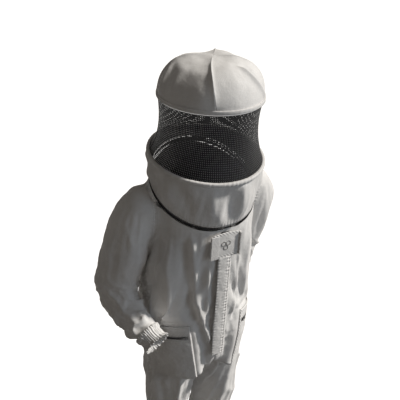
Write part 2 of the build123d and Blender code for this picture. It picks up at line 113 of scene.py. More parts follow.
def grid(name, points, wrap=False):
    """A sheet of quads through points[row][column]. wrap joins its last column to its first."""
    p = np.asarray(points, float)
    n, m = p.shape[:2]
    i, j = np.meshgrid(np.arange(n - 1), np.arange(m if wrap else m - 1), indexing="ij")
    k = (j + 1) % m
    faces = np.stack([i * m + j, i * m + k, (i + 1) * m + k, (i + 1) * m + j], -1).reshape(-1, 4)
    du = np.linalg.norm(np.diff(p, axis=1), axis=2).mean(0).cumsum()
    dv = np.linalg.norm(np.diff(p, axis=0), axis=2).mean(1).cumsum()
    u, v = np.concatenate([[0], du]), np.concatenate([[0], dv])
    uv = np.stack(np.broadcast_arrays(u[None, :], v[:, None]), -1).reshape(-1, 2)
    return link(name, p.reshape(-1, 3), faces, uv)


def boxes(name, frames):
    """Many small six-sided blocks in one mesh. Each is (centre, three half-axis vectors)."""
    corner = np.array([[x, y, z] for x in (-1, 1) for y in (-1, 1) for z in (-1, 1)], float)
    quad = np.array([[0, 1, 3, 2], [4, 6, 7, 5], [0, 4, 5, 1], [2, 3, 7, 6], [0, 2, 6, 4], [1, 5, 7, 3]])
    verts, faces = [], []
    for k, (c, axes) in enumerate(frames):
        verts.append(np.asarray(c) + corner @ np.asarray(axes))
        faces.append(quad + 8 * k)
    obj = link(name, np.concatenate(verts), np.concatenate(faces))
    obj.data.shade_flat()
    return obj


def mark(obj, seam, run):
    """Stores each point's distance from a seam and its place along it, for the stitching and the painted shade
    along the seam line.
    """
    for name, values in (("seam", seam), ("run", run)):
        field = obj.data.attributes.new(name, "FLOAT", "POINT")
        field.data.foreach_set("value", np.asarray(values).astype(np.float32))


def solid(obj, thickness, offset=0.0, bevel=0.0):
    """Gives a sheet its thickness, and keeps it."""
    m = obj.modifiers.new("thick", "SOLIDIFY")
    m.thickness, m.offset, m.use_rim = thickness, offset, True
    if bevel:
        b = obj.modifiers.new("round", "BEVEL")
        b.width, b.segments, b.limit_method = bevel, 2, "ANGLE"
    obj["solid"] = True
    return bake(obj)


def bake(obj):
    """Applies every modifier."""
    deps = bpy.context.evaluated_depsgraph_get()
    mesh = bpy.data.meshes.new_from_object(obj.evaluated_get(deps), depsgraph=deps)
    obj.modifiers.clear()
    obj.data = mesh
    return obj


def ring_axes(tilt):
    c, s = math.cos(tilt), math.sin(tilt)
    return np.array([1, 0, 0.]), np.array([0, c, s]), np.array([0, -s, c])


def on_ring(c, tilt, r, a, w):
    """A point on a tilted ring: a counted from the front towards the wearer's left, w along its axis."""
    x, y, n = ring_axes(tilt)
    a, r, w = np.broadcast_arrays(a, r, w)
    return c + (r * np.sin(a))[..., None] * x - (r * np.cos(a))[..., None] * y + w[..., None] * n


def catmull(rows, steps):
    """Smooth values between rows of numbers."""
    rows = np.asarray(rows, float)
    p = np.vstack([2 * rows[0] - rows[1], rows, 2 * rows[-1] - rows[-2]])
    out = []
    for i in range(1, len(p) - 2):
        for t in np.arange(steps) / steps:
            a, b, c, d = p[i - 1:i + 3]
            bend, twist = 2 * a - 5 * b + 4 * c - d, 3 * b - a - 3 * c + d
            out.append(.5 * (2 * b + (c - a) * t + bend * t * t + twist * t ** 3))
    out.append(rows[-1])
    return np.array(out)


def smooth_noise(p, scale, seed=0.0):
    return np.array([noise.noise(Vector((float(x) / scale + seed, float(y) / scale, float(z) / scale)))
                     for x, y, z in p])


def tube(sections, grow=0.0, steps=6, count=48):
    """Rings of points round a limb. Sections are (centre, direction, half across, half fore and aft)."""
    flat = catmull([[*c, *d, a, b] for c, d, a, b in sections], steps)
    t = np.arange(count) / count * TAU
    rings = []
    for row in flat:
        c, d, a, b = row[:3], row[3:6] / np.linalg.norm(row[3:6]), row[6] + grow, row[7] + grow
        back = np.array([0, 1, 0]) - d * d[1]
        back /= np.linalg.norm(back)
        out = np.cross(d, back)
        rings.append(c + np.outer(b * np.cos(t), back) + np.outer(a * np.sin(t), out))
    return np.array(rings)


def column(sections, grow=0.0, steps=6, count=72, flat_y=None):
    """Rings of points up a trunk or a leg. Sections are (z, centre x, centre y, half width, half depth)."""
    t = np.arange(count) / count * TAU
    rings = []
    for z, cx, cy, a, b in catmull(sections, steps):
        ring = np.stack([cx + (a + grow) * np.sin(t), cy - (b + grow) * np.cos(t), np.full(count, z)], -1)
        if flat_y is not None:
            ring[:, 1] = np.maximum(ring[:, 1], flat_y)
        rings.append(ring)
    return np.array(rings)


def flip(points):
    return points[..., ::-1, :] * np.array([-1, 1, 1])


def closed(name, rings):
    """A tube of rings with both ends capped."""
    n, m = rings.shape[:2]
    verts = np.concatenate([rings.reshape(-1, 3), rings[0].mean(0)[None], rings[-1].mean(0)[None]])
    i, j = np.meshgrid(np.arange(n - 1), np.arange(m), indexing="ij")
    k = (j + 1) % m
    quads = np.stack([i * m + j, i * m + k, (i + 1) * m + k, (i + 1) * m + j], -1).reshape(-1, 4)
    faces = [tuple(f) for f in quads]
    for j in range(m):
        k = (j + 1) % m
        faces.append((n * m, k, j))
        faces.append((n * m + 1, (n - 1) * m + j, (n - 1) * m + k))
    return link(name, verts, faces)


def fused(name, parts, voxel):
    """One skin round several overlapping closed tubes."""
    bpy.ops.object.select_all(action="DESELECT")
    for o in parts:
        o.select_set(True)
    bpy.context.view_layer.objects.active = parts[0]
    bpy.ops.object.join()
    obj = parts[0]
    obj.name = name
    m = obj.modifiers.new("skin", "REMESH")
    m.mode, m.voxel_size, m.adaptivity = "VOXEL", voxel, 0.0
    obj["solid"] = True
    return bake(obj)


# ---- Materials -----------------------------------------------------------------------------------
class Nodes:
    """A small wrapper that adds nodes and joins them."""
    def __init__(self, name):
        self.mat = bpy.data.materials.new(name)
        self.mat.use_nodes = True
        self.tree = self.mat.node_tree
        self.tree.nodes.clear()
        self.out = self.add("ShaderNodeOutputMaterial")
        self.bsdf = self.add("ShaderNodeBsdfPrincipled")
        self.tree.links.new(self.bsdf.outputs[0], self.out.inputs[0])

    def add(self, kind, **settings):
        node = self.tree.nodes.new(kind)
        for k, v in settings.items():
            setattr(node, k, v)
        return node

    def join(self, a, b):
        self.tree.links.new(a, b)

    def math(self, op, a, b=None, c=None):
        node = self.add("ShaderNodeMath", operation=op)
        for socket, value in zip(node.inputs, (a, b, c)):
            if value is None:
                continue
            if hasattr(value, "links"):
                self.join(value, socket)
            else:
                socket.default_value = value
        return node.outputs[0]

    def noise(self, vector, scale, detail=3.0, rough=.55):
        node = self.add("ShaderNodeTexNoise")
        node.inputs["Scale"].default_value, node.inputs["Detail"].default_value = scale, detail
        node.inputs["Roughness"].default_value = rough
        self.join(vector, node.inputs["Vector"])
        return node.outputs[0]

    def ramp(self, value, stops):
        node = self.add("ShaderNodeValToRGB")
        while len(node.color_ramp.elements) < len(stops):
            node.color_ramp.elements.new(.5)
        for e, (pos, colour) in zip(node.color_ramp.elements, stops):
            e.position, e.color = pos, (*colour, 1)
        self.join(value, node.inputs[0])
        return node.outputs[0]

    def bump(self, height, strength, distance, normal=None):
        node = self.add("ShaderNodeBump")
        node.inputs["Strength"].default_value, node.inputs["Distance"].default_value = strength, distance
        self.join(height, node.inputs["Height"])
        if normal is not None:
            self.join(normal, node.inputs["Normal"])
        return node.outputs[0]


def cloth_material(name, low, high, weave=1900.0, rough=.86, crease=1.0, sheen=.25, seams=False):
    """Woven cloth: weave, slubs, soiling, small creases, and, where seams is true, stitched seams with painted
    shade along each seam line.
    """
    n = Nodes(name)
    where = n.add("ShaderNodeTexCoord").outputs["Object"]
    sep = n.add("ShaderNodeSeparateXYZ")
    n.join(where, sep.inputs[0])
    warp = n.math("SINE", n.math("MULTIPLY", sep.outputs[2], weave))
    weft = n.math("SINE", n.math("MULTIPLY", n.math("ADD", sep.outputs[0], sep.outputs[1]), weave))
    thread = n.math("MULTIPLY", warp, weft)
    slub = n.noise(where, 260, 4)
    mottle = n.noise(where, 7, 5)
    fine = n.noise(where, 46, 5, .62)
    broad = n.noise(where, 17, 3, .5)
    soil = n.math("ADD", n.math("MULTIPLY", mottle, .7), n.math("MULTIPLY", fine, .3))
    colour = n.ramp(soil, [(.30, low), (.68, high)])
    height = n.math("ADD", n.math("MULTIPLY", broad, 1.0 * crease), n.math("MULTIPLY", fine, .35 * crease))
    bump = n.bump(height, .55, .006)
    bump = n.bump(n.math("ADD", n.math("MULTIPLY", thread, .5), slub), .35, .0005, bump)
    if seams:
        rest = n.add("ShaderNodeAttribute", attribute_name="seam").outputs["Fac"]
        run = n.add("ShaderNodeAttribute", attribute_name="run").outputs["Fac"]
        groove = n.math("SMOOTH_MIN", n.math("MULTIPLY", rest, 220.0), 1.0, .3)
        pucker = n.math("MULTIPLY", n.math("SINE", n.math("MULTIPLY", run, 520.0)),
                        n.math("SUBTRACT", 1.0, n.math("MINIMUM", n.math("MULTIPLY", rest, 60.0), 1.0)))
        bump = n.bump(n.math("ADD", groove, n.math("MULTIPLY", pucker, .35)), .8, .0022, bump)
        # Darkens a dashed row of stitches 6.5 mm off each seam, and paints shade on the seam line itself,
        # within 1.2 mm of it
        row = n.math("LESS_THAN", n.math("ABSOLUTE", n.math("SUBTRACT", rest, .0065)), .0007)
        dash = n.math("GREATER_THAN", n.math("SINE", n.math("MULTIPLY", run, 2100.0)), -.35)
        dark = n.math("MAXIMUM", n.math("MULTIPLY", n.math("MULTIPLY", row, dash), .35),
                      n.math("MULTIPLY", n.math("LESS_THAN", rest, .0012), .45))
        mix = n.add("ShaderNodeMix", data_type="RGBA", blend_type="MULTIPLY")
        n.join(dark, mix.inputs["Factor"])
        n.join(colour, mix.inputs["A"])
        # The colour of the stitches and of the painted seam shade
        mix.inputs["B"].default_value = (.45, .43, .41, 1)
        colour = mix.outputs["Result"]
    n.join(colour, n.bsdf.inputs["Base Color"])
    n.join(bump, n.bsdf.inputs["Normal"])
    n.join(n.math("ADD", n.math("MULTIPLY", slub, .12), rough - .06), n.bsdf.inputs["Roughness"])
    n.bsdf.inputs["Sheen Weight"].default_value = sheen
    n.bsdf.inputs["Sheen Roughness"].default_value = .5
    n.bsdf.inputs["Specular IOR Level"].default_value = .25
    return n.mat


def metal_material(name, dark, light, rough, metallic=1.0, scale=900.0):
    """Worn enamel or metal, with scratches and a smudged finish."""
    n = Nodes(name)
    where = n.add("ShaderNodeTexCoord").outputs["Object"]
    wear = n.noise(where, scale, 6, .7)
    smudge = n.noise(where, scale / 9, 3)
    n.join(n.ramp(wear, [(.35, dark), (.78, light)]), n.bsdf.inputs["Base Color"])
    n.join(n.math("ADD", n.math("MULTIPLY", smudge, .3), rough), n.bsdf.inputs["Roughness"])
    n.join(n.bump(wear, .25, .0003), n.bsdf.inputs["Normal"])
    n.bsdf.inputs["Metallic"].default_value = metallic
    return n.mat


WHITE_LOW, WHITE_HIGH = (.70, .69, .68), (.84, .83, .82)
CLOTH = cloth_material("suit_cloth", WHITE_LOW, WHITE_HIGH, seams=True)
CROWN = cloth_material("crown_cloth", (.72, .71, .70), (.86, .85, .84), crease=.8)
BAND = cloth_material("binding_cloth", (.66, .65, .64), (.82, .81, .80), weave=2600, crease=.5)
KNIT = cloth_material("elastic_knit", (.62, .61, .60), (.80, .79, .78), weave=1500, crease=.3)
TAPE = cloth_material("zip_tape", (.012, .012, .014), (.035, .034, .036),
                      weave=3000, rough=.8, crease=.2, sheen=.1)
NET = cloth_material("net_yarn", (.006, .006, .007), (.018, .018, .020),
                     weave=3000, rough=.62, crease=.1, sheen=.05)
THREAD = cloth_material("dark_thread", (.05, .045, .04), (.12, .11, .10),
                        weave=4000, rough=.6, crease=.2, sheen=.1)
COIL = metal_material("coil", (.010, .010, .012), (.05, .05, .052), .32, 0.0)
ENAMEL = metal_material("enamel", (.012, .012, .013), (.16, .16, .16), .28, .35)
WIRE = metal_material("wire", (.35, .35, .36), (.62, .62, .62), .3)


def dress(obj, material, body, *nodes, slot=None):
    obj.data.materials.clear()
    obj.data.materials.append(material)
    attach(obj, body)
    if nodes:
        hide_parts(*nodes)
    return obj


# ---- The suit, cut as one skin and let fall on a hidden figure -----------------------------------
def limbs(grow, trunk_grow):
    trunk = closed("t", column([(z, 0, cy, a, b) for z, cy, a, b in TRUNK], trunk_grow, 5, 72,
                               FRONT_Y - min(trunk_grow, 0)))
    left_leg, right_leg = column(LEG, grow, 5, 48), flip(column(LEG, grow, 5, 48))
    return [trunk, closed("ll", left_leg), closed("lr", right_leg),
            closed("al", tube(HANGING, grow)), closed("ar", flip(tube(BENT, grow)))]


def neck_side(p):
    """Height above the neck zip's plane."""
    return (p - NECK_C) @ ring_axes(NECK_TILT)[2]


def ease(x):
    x = np.clip(x, 0, 1)
    return x * x * (3 - 2 * x)


def points_of(obj):
    co = np.empty(len(obj.data.vertices) * 3)
    obj.data.vertices.foreach_get("co", co)
    return co.reshape(-1, 3)


def set_points(obj, p):
    obj.data.vertices.foreach_set("co", np.asarray(p, float).ravel())
    obj.data.update()


def pocket_frame(side):
    across = np.array([math.cos(POCKET_YAW), math.sin(POCKET_YAW), 0])
    z = np.array([0, 0, 1.])
    along = across * math.cos(POCKET_SLANT) - z * math.sin(POCKET_SLANT)
    normal = across * math.sin(POCKET_SLANT) + z * math.cos(POCKET_SLANT)
    y = np.cross(normal, along)
    m = np.array([side, 1, 1])
    return POCKET_C * m, along * m, y * m, normal * m


def pocket_point(side, r, a, w):
    """A point on a pocket: a degrees from its middle towards the outside, w up from its zip."""
    c, along, y, normal = pocket_frame(side)
    a = np.radians(a)
    a, r, w = np.broadcast_arrays(a, r, w)
    return c + (r * np.sin(a))[..., None] * along - (r * np.cos(a))[..., None] * y + w[..., None] * normal


def pocket_radius(w):
    """How far a pocket's cloth lies from its axis: it follows the leg inwards below."""
    return .1838 - .016 * ease((-.02 - w) / .19)


def in_pocket(p, side):
    c, along, y, normal = pocket_frame(side)
    d = p - c
    u, v, w = d @ along, -(d @ y), d @ normal
    return np.degrees(np.arctan2(u, v)), w, np.hypot(u, v)


def held(p):
    """How firmly each point of the suit is held: at the neck, the front edges, the cuffs, hems and pockets."""
    pin = ease((neck_side(p) + .045) / .030)
    placket = ease((.034 - np.abs(p[:, 0])) / .012) * (p[:, 1] < -.10)
    pin = np.maximum(pin, placket * ease((p[:, 2] + .77) / .03))
    pin = np.maximum(pin, ease((.062 - np.abs(p[:, 0])) / .01) * (p[:, 1] < -.10) * (p[:, 2] > -.33))
    for c in (np.array(HANGING[-1][0]), np.array(BENT[-1][0]) * [-1, 1, 1]):
        pin = np.maximum(pin, ease((.060 - np.linalg.norm(p - c, axis=1)) / .02))
    pin = np.maximum(pin, ease((HEM_Z + .05 - p[:, 2]) / .03))
    for side in (1, -1):
        a, w, r = in_pocket(p, side)
        pin = np.maximum(pin, ease((27 - np.abs(a)) / 4) * ease((.035 - np.abs(w)) / .015) * (r > .12))
    return pin


def drape(obj, form):
    """Lets the suit fall on the figure with its cloth cut a little large, so that it folds."""
    p = points_of(obj)
    rest = p.copy()
    pin = held(p)
    group = obj.vertex_groups.new(name="pin")
    loose = obj.vertex_groups.new(name="loose")
    sleeve = ease((np.abs(p[:, 0]) - .205) / .03)
    knee = ease((-.95 - p[:, 2]) / .1)
    size = np.clip(.35 + .55 * sleeve + .35 * knee, 0, 1)
    for i in range(len(p)):
        group.add([i], float(pin[i]), "REPLACE")
        loose.add([i], float(size[i]), "REPLACE")
    free = (1 - pin)[:, None]
    normals = np.empty(len(p) * 3)
    obj.data.vertices.foreach_get("normal", normals)
    bulge = smooth_noise(p * [1, 1, .55], .045, 3.1) * .006 + smooth_noise(p, .11, 9.0) * .004
    set_points(obj, p + normals.reshape(-1, 3) * (bulge[:, None] * free))
    cloth = obj.modifiers.new("cloth", "CLOTH")
    s = cloth.settings
    s.quality, s.mass, s.air_damping = 7, .25, 3.0
    s.tension_stiffness = s.compression_stiffness = 22
    s.shear_stiffness, s.bending_stiffness = 7, .12
    s.tension_damping = s.compression_damping = 8
    s.vertex_group_mass, s.pin_stiffness = "pin", 1.0
    s.vertex_group_shrink, s.shrink_min, s.shrink_max = "loose", -.03, -.13
    cloth.collision_settings.distance_min = .004
    cloth.collision_settings.collision_quality = 2
    cloth.collision_settings.use_self_collision = False
    form.modifiers.new("solid", "COLLISION")
    form.collision.thickness_outer = .004
    scene = bpy.context.scene
    cloth.point_cache.frame_end = DRAPE_FRAMES
    for f in range(1, DRAPE_FRAMES + 1):
        scene.frame_set(f)
    bake(obj)
    scene.frame_set(1)
    return rest


DRAPE_FRAMES = 46
VOXEL = .0115
suit = fused("suit_skin", limbs(0, .002), VOXEL)
bm = bmesh.new()
bm.from_mesh(suit.data)
neck_n = ring_axes(NECK_TILT)[2]
cut = NECK_C + neck_n * -.0100
bmesh.ops.bisect_plane(bm, geom=bm.verts[:] + bm.edges[:] + bm.faces[:], plane_co=cut, plane_no=neck_n)
above = []
for f in bm.faces:
    q = np.array(f.calc_center_median()) - cut
    if q @ neck_n > 0 and np.linalg.norm(q - (q @ neck_n) * neck_n) < .199:
        above.append(f)
bmesh.ops.delete(bm, geom=above, context="FACES")
bmesh.ops.bisect_plane(bm, geom=bm.verts[:] + bm.edges[:] + bm.faces[:], plane_co=(0, 0, HEM_Z - .004),
                       plane_no=(0, 0, -1), clear_outer=True)
ends = []
for limb, side in ((HANGING, [1, 1, 1]), (BENT, [-1, 1, 1])):
    c, d = np.array(limb[-1][0]) * side, np.array(limb[-1][1]) * side
    d = d / np.linalg.norm(d)
    ends += [f for f in bm.faces if np.linalg.norm(np.array(f.calc_center_median()) - c) < .07
             and (np.array(f.calc_center_median()) - c) @ d > -.010]
bmesh.ops.delete(bm, geom=ends, context="FACES")
bm.to_mesh(suit.data)
bm.free()

figure = fused("figure", limbs(-.017, -.020), .014)
rest = drape(suit, figure)
bpy.data.objects.remove(figure)


def seam_fields(rest):
    """Distance to the nearest seam, and a running length along it, for every point of the suit."""
    x, y, z = rest.T
    trunk = (np.abs(x) < .198)
    sides = np.abs(y - .024) + (np.abs(x) < .12) * 1.0
    back = np.abs(x) + (y < .05) * 1.0
    crotch = np.abs(x) + ((z > -.735) | (z < -.84)) * 1.0
    yoke = np.abs(z + .215) + (y < .05) * 1.0
    waist = np.abs(z + .430) + (y < .05) * 1.0
    arm = np.abs(np.abs(x) - .199) + (z < -.30) * 1.0
    under = np.abs(y - .05 - .1 * (-z - .3).clip(0)) + (np.abs(x) < .2) * 1.0 + (np.abs(x) > .262) * 1.0
    off = ~trunk * 1.0
    d = np.minimum.reduce([sides + off, back, crotch, yoke + off, waist + off, arm, under])
    return d, z + .6 * y + .3 * np.abs(x)


def detail(obj, rest):
    """Subdivides the draped skin, keeping where each point started."""
    for k, name in enumerate(("rx", "ry", "rz")):
        obj.data.attributes.new(name, "FLOAT", "POINT").data.foreach_set("value", rest[:, k].astype(np.float32))
    m = obj.modifiers.new("smooth", "SMOOTH")
    m.factor, m.iterations = .5, 2
    m = obj.modifiers.new("fine", "SUBSURF")
    m.levels = m.render_levels = 1
    bake(obj)
    r = np.empty((3, len(obj.data.vertices)), np.float32)
    for k, name in enumerate(("rx", "ry", "rz")):
        obj.data.attributes[name].data.foreach_get("value", r[k])
    return r.T.astype(float)


def long_fold(t, z, path, height, width):
    """A drape down the trunk. path is (angle from the front in degrees, z); its hollow lies on one side."""
    path = np.array(path)
    middle = np.interp(-z, -path[:, 1], path[:, 0])
    d = np.radians(t - middle) * .185
    fade = ease((path[0, 1] - z) / .05) * ease((z - path[-1, 1]) / .06)
    hollow = math.copysign(2.1 * width, height)
    return abs(height) * fade * (np.exp(-(d / width) ** 2) - .8 * np.exp(-((d - hollow) / (1.4 * width)) ** 2))


def ridged(p, stretch, scale, seed):
    """Sharp ridges with soft hollows between them."""
    return (1 - np.abs(smooth_noise(p * stretch, scale, seed)) * 2.2).clip(0) ** 2 - .35


# Paths down the trunk, how far each stands out (its sign says which side is hollow), and its width
LONG_FOLDS = [([(-38, -.225), (-34, -.40), (-30, -.49), (-14, -.64), (-2, -.73)], -.0130, .013),
              ([(-62, -.235), (-60, -.42), (-66, -.60)], -.0085, .012),
              ([(22, -.30), (26, -.45), (19, -.62)], .0075, .010),
              ([(45, -.24), (41, -.40), (47, -.56)], .0080, .012),
              ([(-20, -.33), (-16, -.46), (-17, -.58)], .0050, .009),
              ([(150, -.22), (146, -.40), (152, -.66)], .0080, .014),
              ([(-148, -.24), (-152, -.42), (-143, -.60)], -.0080, .014),
              ([(178, -.30), (172, -.60)], .0065, .012),
              ([(100, -.30), (104, -.62)], .0060, .012)]


def folds(p):
    """How far the hung cloth stands out from or sinks into its smooth shape."""
    x, y, z = p.T
    trunk = ease((.200 - np.abs(x)) / .02)
    t = np.degrees(np.arctan2(x, -(y - .024)))
    move = sum(long_fold(t, z, *f) for f in LONG_FOLDS) * trunk
    fuller = ease((-.27 - z) / .10) * ease((z + .66) / .10) * trunk * ease((np.abs(x) - .10) / .07)
    move += fuller * np.where(x < 0, .030, .010)
    sleeve = 1 - trunk
    inner = sleeve * ease((-.29 - z) / .08) * ease((z + .58) / .08) * ease((.285 - np.abs(x)) / .04) * (x < 0)
    move += inner * .012
    lower = sleeve * ease((-.37 - z) / .07)
    turned = p @ np.array([[.80, -.30, .52], [.36, .93, 0], [-.48, .19, .86]])
    move += lower * (.0105 * ridged(turned, [1, 1, 2.0], .100, 4.0)
                     + .0030 * ridged(turned, [1, 1.2, 1.6], .052, 7.7))
    move += (sleeve - lower) * .0070 * ridged(p, [1, 1, .40], .085, 2.4)
    leg = ease((-.70 - z) / .08) * trunk
    move += leg * (.0090 * ridged(p, [1, 1, .28], .075, 6.1) + .0015 * ridged(p, [1, 1, 1.1], .060, 8.8))
    knee = leg * np.exp(-((z + 1.27) / .10) ** 2)
    move += knee * .0070 * ridged(p, [.8, .8, 2.2], .055, 3.4)
    hip = np.exp(-((z + .66) / .07) ** 2) * trunk
    move += hip * .0045 * ridged(p, [1, 1, 1.6], .050, 5.2)
    return move * (1 - held(p)) * ease((-.175 - z) / .05)


rest = detail(suit, rest)
normals = np.empty(len(suit.data.vertices) * 3)
suit.data.vertices.foreach_get("normal", normals)
skin = points_of(suit) + normals.reshape(-1, 3) * folds(rest)[:, None]
for side in (1, -1):        # the cloth lies flat under the patch pockets
    a, w, r = in_pocket(rest, side)
    hold = ease((41 - np.abs(a)) / 13) * ease((.062 - w) / .016) * ease((w + .207) / .016) * (r > .12)
    c, along, y, normal = pocket_frame(side)
    q = skin - c
    q_axis = (q @ normal)[:, None] * normal
    radial = q - q_axis
    length = np.linalg.norm(radial, axis=1)
    target = pocket_radius(w) - .0045
    skin = skin + radial / length[:, None] * ((target - length) * hold)[:, None]
set_points(suit, skin)
d, run = seam_fields(rest)
mark(suit, d, run)


def split(obj, rest, rules):
    """Cuts the skin into its sewn panels. rules is a list of (name, test of the panel's own points)."""
    mesh = obj.data
    tris = [tuple(p.vertices) for p in mesh.polygons]
    centre = np.array([rest[list(t)].mean(0) for t in tris])
    left = np.ones(len(tris), bool)
    p = points_of(obj)
    seam, along = np.empty(len(p), np.float32), np.empty(len(p), np.float32)
    mesh.attributes["seam"].data.foreach_get("value", seam)
    mesh.attributes["run"].data.foreach_get("value", along)
    out = {}
    for name, test in rules:
        mine = left & test(centre)
        left &= ~mine
        ids = np.flatnonzero(mine)
        used = np.unique(np.concatenate([tris[i] for i in ids]))
        index = {int(v): k for k, v in enumerate(used)}
        piece = link(name, p[used], [[index[v] for v in tris[i]] for i in ids])
        mark(piece, seam[used], along[used])
        out[name] = (piece, rest[used])
    bpy.data.objects.remove(obj)
    return out


def arm_side(c, side):
    return (c[:, 0] * side > .1985) & (c[:, 2] < -.06)


ELBOW = -.462
panels = split(suit, rest, [
    ("sleeve_cloth_upper_left", lambda c: arm_side(c, 1) & (c[:, 2] > ELBOW)),
    ("sleeve_cloth_upper_right", lambda c: arm_side(c, -1) & (c[:, 2] > ELBOW)),
    ("sleeve_cloth_lower_left", lambda c: arm_side(c, 1) & (c[:, 2] > -.68)),
    ("sleeve_cloth_lower_right", lambda c: (arm_side(c, -1) | ((c[:, 0] < -.17) & (c[:, 1] < -.06)))
     & (c[:, 2] > -.64) & (c[:, 2] < -.5)),
    ("front_cloth_left", lambda c: (c[:, 2] > -.430) & (c[:, 1] < .024) & (c[:, 0] > 0)),
    ("front_cloth_right", lambda c: (c[:, 2] > -.430) & (c[:, 1] < .024)),
    ("back_cloth_left", lambda c: (c[:, 2] > -.430) & (c[:, 0] > 0)),
    ("back_cloth_right", lambda c: c[:, 2] > -.430),
    ("trouser_cloth_front_left", lambda c: (c[:, 1] < .026) & (c[:, 0] > 0)),
    ("trouser_cloth_front_right", lambda c: c[:, 1] < .026),
    ("trouser_cloth_back_left", lambda c: c[:, 0] > 0),
    ("trouser_cloth_back_right", lambda c: c[:, 0] < 1e9)])
STANDS = {"front_cloth_left": "front_panel_left", "front_cloth_right": "front_panel_right",
          "back_cloth_left": "back_panel_left", "back_cloth_right": "back_panel_right",
          "trouser_cloth_front_left": "trouser_front_left", "trouser_cloth_front_right": "trouser_front_right",
          "trouser_cloth_back_left": "trouser_back_left", "trouser_cloth_back_right": "trouser_back_right"}
for name, (piece, at) in panels.items():
    piece.data.materials.append(CLOTH)
    side = "left" if name.endswith("left") else "right"
    sign = 1 if side == "left" else -1
    if "upper" in name:
        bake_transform(piece)
        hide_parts(f"sleeve_upper_{side}")
    elif "lower" in name:
        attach(piece, f"sleeve_{side}")
        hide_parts(f"sleeve_lower_{side}")
    else:
        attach(piece, "suit")
        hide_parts(STANDS[name])


# Each panel's cut length, down the garment, looked up for each panel below
CUT_LENGTH = {"sleeve_cloth_upper": .40, "sleeve_cloth_lower": .22, "front_cloth": .33, "back_cloth": .44,
              "trouser_cloth_front": 1.00, "trouser_cloth_back": 1.00}
for name, (piece, at) in panels.items():
    length = CUT_LENGTH[name.rsplit("_", 1)[0]]


# ---- Hood ----------------------------------------------------------------------------------------
SEAM_TURN = math.radians(-29)
PROFILE = catmull([(.1680, .1985), (.1650, .220), (.1530, .250), (.1330, .278), (.1080, .300), (.0740, .314),
                   (.0380, .320), (.0008, .322)], 8)
CROWN_FOLDS = [([(.05, 46), (.30, 34), (.60, 24)], .0078, .0105), ([(.08, 190), (.50, 205)], .0040, .0140),
               ([(.06, 120), (.50, 108)], .0045, .0130), ([(.10, 262), (.50, 250)], .0040, .0150)]


def crown_points(a):
    """Rows up the crown at angles a. Its four seams stand up as ridges, and slack folds run beside them."""
    s = np.abs(((a - SEAM_TURN + math.pi / 4) % (math.pi / 2)) - math.pi / 4)
    rows = []
    for i, (r, z) in enumerate(PROFILE):
        v = i / (len(PROFILE) - 1)
        body = math.sin(math.pi * min(1, v * 1.04)) ** .8 if v < .96 else .02
        lean = math.radians(3 - 15 * v ** 1.3)
        turn = a + lean
        square = (1 - s / (math.pi / 4)) ** 1.6 - .32
        crest = np.exp(-s * r / .0050) * .0034 * body
        move = np.zeros_like(a)
        for path, height, width in CROWN_FOLDS:
            path = np.array(path)
            d = np.radians((np.degrees(a) - np.interp(v, path[:, 0], path[:, 1]) + 180) % 360 - 180) * r
            fade = ease((v - path[0, 0] + .04) / .12) * ease((path[-1, 0] + .06 - v) / .15)
            hollow = np.exp(-((d - 2.0 * width) / (1.3 * width)) ** 2)
            move += height * fade * (np.exp(-np.abs(d / width) ** 1.5) - .75 * hollow)
        rr = r * (1 + .075 * body * square)
        up = np.full_like(a, z) + .010 * v * (1 - v) * square
        p = np.stack([rr * np.sin(turn), -rr * np.cos(turn), up], -1)
        dent = smooth_noise(p, .110, 5.0) * .0090 + smooth_noise(p * [1, 1, .6], .036, 1.0) * .0012
        out = p / np.linalg.norm(p * [1, 1, .55], axis=1)[:, None]
        rows.append(p + out * (dent * min(1, v * 6) + crest + move)[:, None])
    return np.array(rows)


for k, name in enumerate(("front", "left", "back", "right")):
    first = SEAM_TURN + k * math.pi / 2
    a = np.linspace(first, first + math.pi / 2, 81)
    gore = grid(f"crown_cloth_{name}", crown_points(a))
    s = np.abs(((a - SEAM_TURN + math.pi / 4) % (math.pi / 2)) - math.pi / 4)
    r = np.linalg.norm(points_of(gore)[:, :2], axis=1)
    far = np.minimum(np.tile(s, len(PROFILE)) * r, np.repeat(np.arange(len(PROFILE)) * .004 + .004, len(a)))
    mark(gore, far, points_of(gore)[:, 2] * 1.3)
    solid(gore, .0012, -1)
    dress(gore, CROWN, "hood", f"crown_gore_{name}", slot="crown_cloth")


def ring_roll(name, c, tilt, r, shape, around, columns, ripple):
    """A roll of cloth round a tilted ring. shape is (half out, half up)."""
    a = np.arange(columns) / columns * TAU
    base = on_ring(c, tilt, r, a, 0)
    x, y, n = ring_axes(tilt)
    radial = np.sin(a)[:, None] * x - np.cos(a)[:, None] * y
    rows = []
    for k in range(around + 1):
        t = k / around * TAU
        uneven = smooth_noise(base, .006, 2.0) + .6 * smooth_noise(base, .02, 4.0)
        wob = 1 + ripple * (np.sin(a * columns / 9 + 2 * math.cos(t)) * .5 + uneven)
        e = .75
        o = shape[0] * np.sign(math.cos(t)) * abs(math.cos(t)) ** e * wob
        u = shape[1] * np.sign(math.sin(t)) * abs(math.sin(t)) ** e * wob
        rows.append(base + radial * o[:, None] + u[:, None] * n)
    return grid(name, np.array(rows), wrap=True)


brim_c = np.array([0, 0, BRIM_Z + .0025])
band = ring_roll("brim_cloth", brim_c, 0, BRIM_R + .0018, (.0026, .0066), 20, 540, .10)
dress(band, BAND, "hood", "brim_band", slot="hood_binding")
casing = ring_roll("casing_cloth", HOOP_C, HOOP_TILT, HOOP_R, (.0066, .0068), 18, 720, .09)
dress(casing, BAND, "hood", "lower_hoop_casing", slot="hood_binding")


